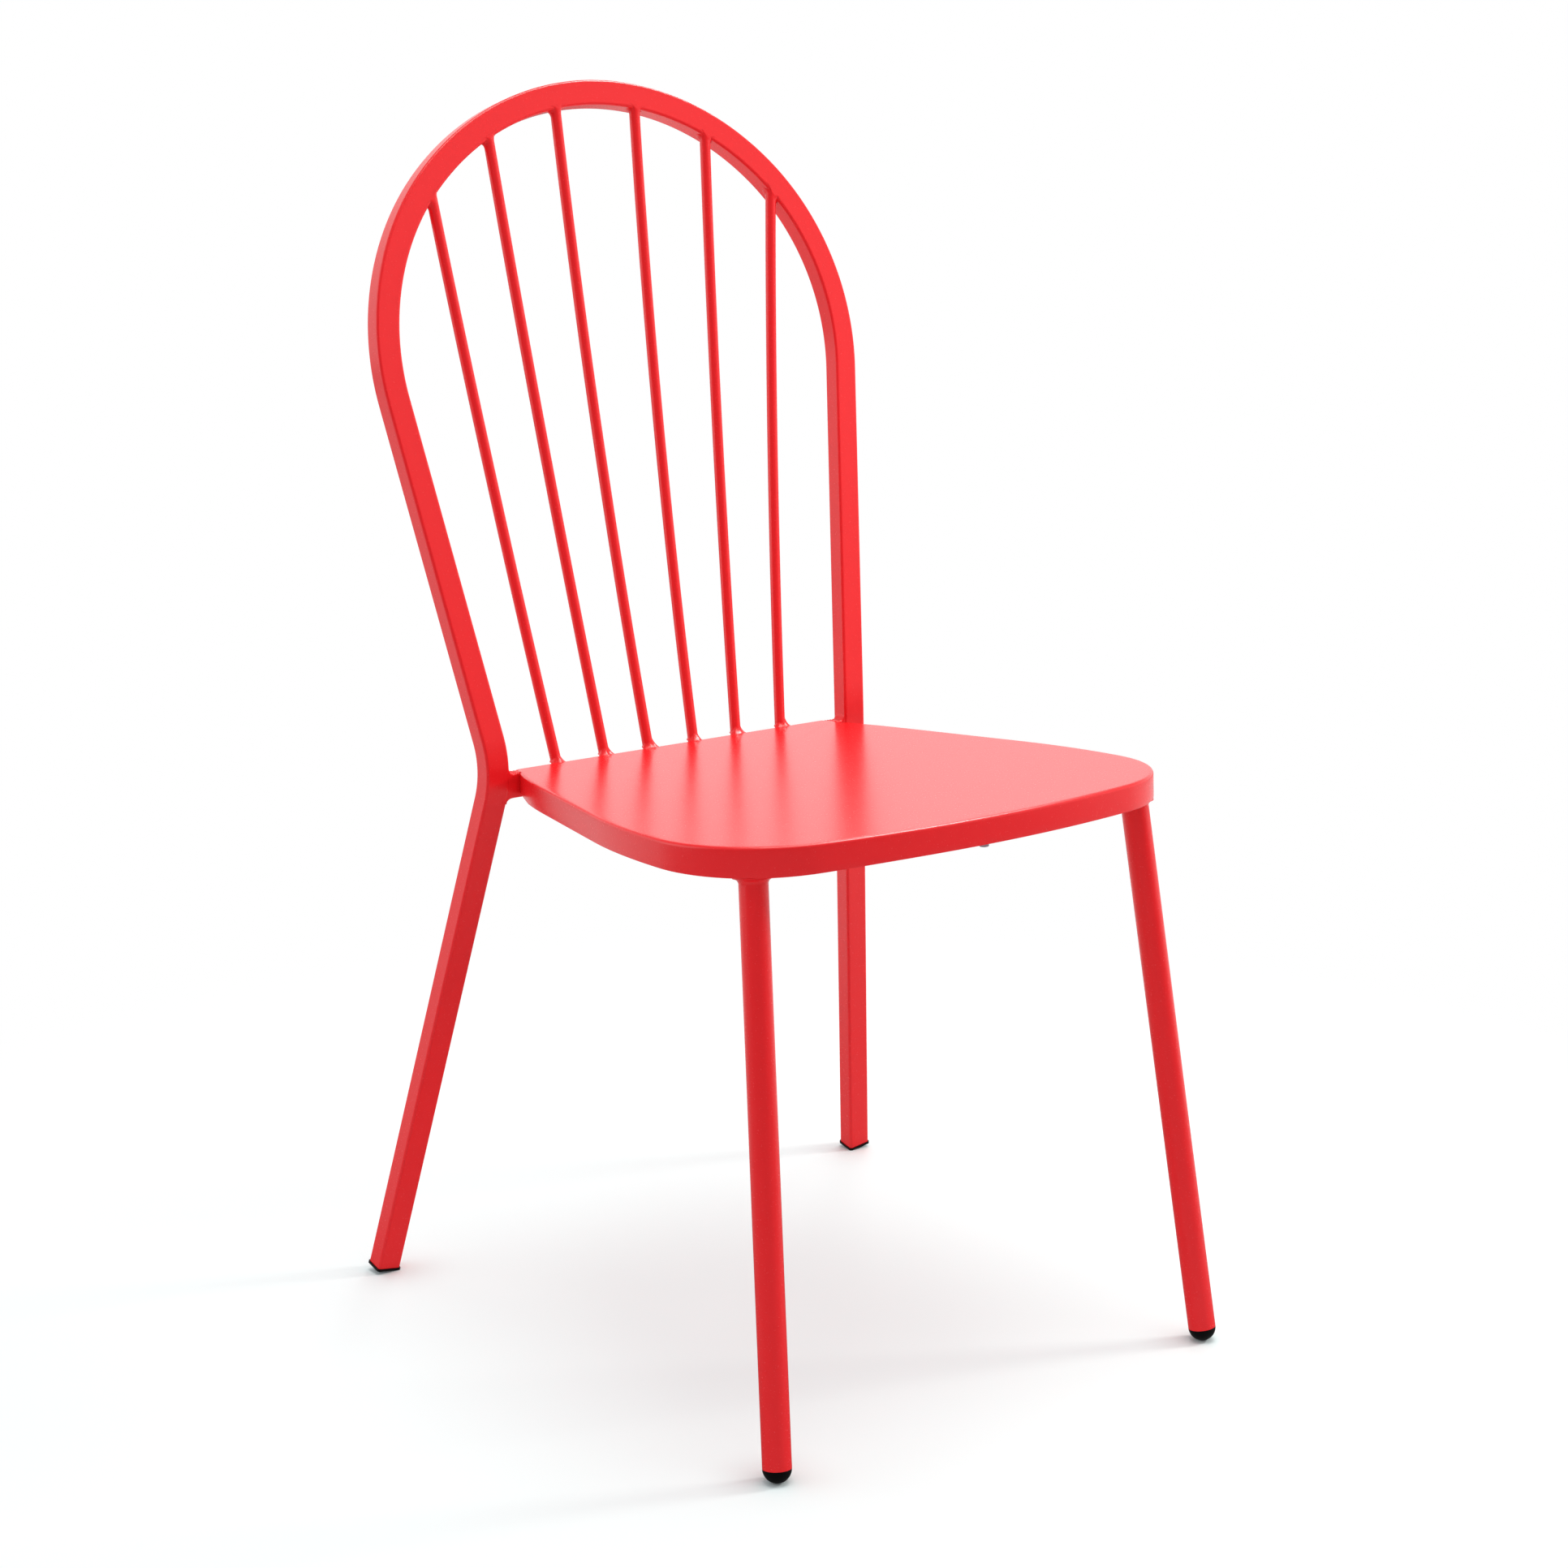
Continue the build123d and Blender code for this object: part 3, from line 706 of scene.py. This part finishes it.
floor_corners = [(x * floor_half, y * floor_half, 0.0) for x, y in ((-1, -1), (1, -1), (1, 1), (-1, 1))]
floor_mesh = bpy.data.meshes.new("studio_floor")
floor_mesh.from_pydata(floor_corners, [], [(0, 1, 2, 3)])
floor = bpy.data.objects.new("studio_floor", floor_mesh)
scene.collection.objects.link(floor)
pale_floor, tree, shader = new_material("pale_floor")
place = add_node(tree, "TexCoord", {}).outputs["Object"]
rays = add_node(tree, "LightPath", {}).outputs
direct = worked(tree, "MAXIMUM", rays["Is Camera Ray"], rays["Is Transmission Ray"])
tint = add_node(tree, "Mix", {"Factor": direct, "A": floor_plain, "B": floor_seen}, data_type="RGBA")
feed(tree, shader, {"Roughness": 1.0, "Specular IOR Level": 0.0, "Base Color": tint.outputs["Result"]})
foot_gaps = []
for name in foot_names:
    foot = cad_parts[name]
    points = np.array([foot.matrix_world @ vertex.co for vertex in foot.data.vertices])
    spot = points[points[:, 2] < foot_sole].mean(axis=0)
    foot_gaps.append(measured(tree, "DISTANCE", place, spot))
nearest = foot_gaps[0]
for gap in foot_gaps[1:]:
    nearest = worked(tree, "MINIMUM", nearest, gap)
from_middle = measured(tree, "DISTANCE", place, (0.0, 0.0, 0.0))
contact = ranged(tree, nearest, contact_reach, (0.0, 1.0), "SMOOTHSTEP")
lift = ranged(tree, from_middle, lift_reach, lift_levels, "SMOOTHSTEP")
lift = worked(tree, "MULTIPLY", direct, worked(tree, "MULTIPLY", lift, contact))
white = add_node(tree, "Emission", {"Color": (1, 1, 1, 1)})
lifted = add_node(tree, "MixShader", {0: lift, 1: shader.outputs[0], 2: white.outputs[0]})
behind = measured(tree, "DOT_PRODUCT", place, view_way)
level = ranged(tree, behind, front_reach, front_levels)
level = worked(tree, "MULTIPLY", level, ranged(tree, behind, far_reach, far_levels))
level = worked(tree, "MULTIPLY", level, ranged(tree, from_middle, painted_shade_reach, painted_shade_levels))
# Painted reflection: a glow seen only in gloss, carrying the painted shade under the chair.
painted_reflection = add_node(tree, "Emission", {"Color": level})
gloss = worked(tree, "MULTIPLY", rays["Is Glossy Ray"], gloss_share)
ground = add_node(tree, "MixShader", {0: gloss, 1: lifted.outputs[0], 2: painted_reflection.outputs[0]})
feed(tree, tree.nodes["Material Output"], {"Surface": ground.outputs[0]})
floor_mesh.materials.append(pale_floor)

# Studio: white walls all round, with a dark gap on the camera's side. The walls give the gloss and a low
# even light, and soft boxes give the rest: from the right without gloss, from the left, from behind
# and from above, and a strip that shows in the gloss only, as the line on the seat's front edge.
gap_way = (-0.57, -0.78, -0.8)
gap_reach = (-0.1, 0.55)
gap_levels = (1.15, 0.03)
ceiling_reach = (0.3, 0.55)
ceiling_levels = (1.0, 0.4)
wall_light = 0.6
seen_light = 1.0
world = bpy.data.worlds.new("studio")
scene.world = world
world.use_nodes = True
tree = world.node_tree
place = add_node(tree, "TexCoord", {}).outputs["Generated"]
rays = add_node(tree, "LightPath", {}).outputs
upward = add_node(tree, "SeparateXYZ", {"Vector": place}).outputs["Z"]
gap = ranged(tree, measured(tree, "DOT_PRODUCT", place, gap_way), gap_reach, gap_levels, "SMOOTHSTEP")
bright = worked(tree, "MULTIPLY", gap, ranged(tree, upward, ceiling_reach, ceiling_levels))
walls = add_node(tree, "Mix", {"Factor": rays["Is Glossy Ray"], "A": wall_light, "B": bright})
direct = worked(tree, "MAXIMUM", rays["Is Camera Ray"], rays["Is Transmission Ray"])
seen = add_node(tree, "Mix", {"Factor": direct, "A": walls.outputs["Result"], "B": seen_light})
feed(tree, tree.nodes["Background"], {"Color": (1, 1, 1, 1), "Strength": seen.outputs["Result"]})


def soft_box(name, place, aim, width, height, power, colour):
    """Rectangular lamp at a place, turned to shine at aim."""
    lamp = bpy.data.lights.new(name, "AREA")
    lamp.shape = "RECTANGLE"
    lamp.size = width
    lamp.size_y = height
    lamp.energy = power
    lamp.color = colour
    box = bpy.data.objects.new(name, lamp)
    box.location = place
    way = np.array(aim) - np.array(place)
    tip = math.atan2(math.hypot(way[0], way[1]), -way[2])
    box.rotation_euler = (tip, 0, math.atan2(way[1], way[0]) - math.pi / 2)
    scene.collection.objects.link(box)
    return box


key = soft_box("key_right", (2.1, -0.9, 1.4), (0.0, 0.0, 0.3), 0.45, 0.45, 25.0, (1.0, 0.985, 0.93))
key.visible_glossy = False
soft_box("fill_left", (-2.0, 1.0, 1.1), (0.0, 0.0, 0.5), 1.8, 2.0, 9.0, (0.95, 0.97, 1.0))
soft_box("rim_right", (1.2, 1.2, 1.8), (0.0, -0.1, 0.45), 0.5, 0.5, 5.0, (1.0, 1.0, 1.0))
soft_box("top", (0.42, -0.2, 4.4), (0.0, 0.0, 0.2), 2.5, 2.5, 92.0, (1.0, 0.99, 0.95))
strip = soft_box("edge_strip", (1.87, -0.6, 3.47), (0.0, -0.05, 0.45), 1.6, 1.0, 100.0, (1.0, 1.0, 1.0))
strip.visible_diffuse = False

# Camera: where the photograph was taken from, on the side of the chair's own right and a little above
# its top, with the same long lens.
image_pixels = 1932
focal_pixels = 3743.2
camera_dip = math.radians(13.8222)
camera_turn = math.radians(36.0968)
lens = bpy.data.cameras.new("view")
lens.sensor_width = 36.0
lens.lens = lens.sensor_width * focal_pixels / image_pixels
lens.shift_x = -0.0005
camera = bpy.data.objects.new("view", lens)
camera.location = (-1.3611, -1.8664, 0.99245)
camera.rotation_euler = (math.pi / 2 - camera_dip, 0, -camera_turn)
scene.collection.objects.link(camera)
scene.camera = camera
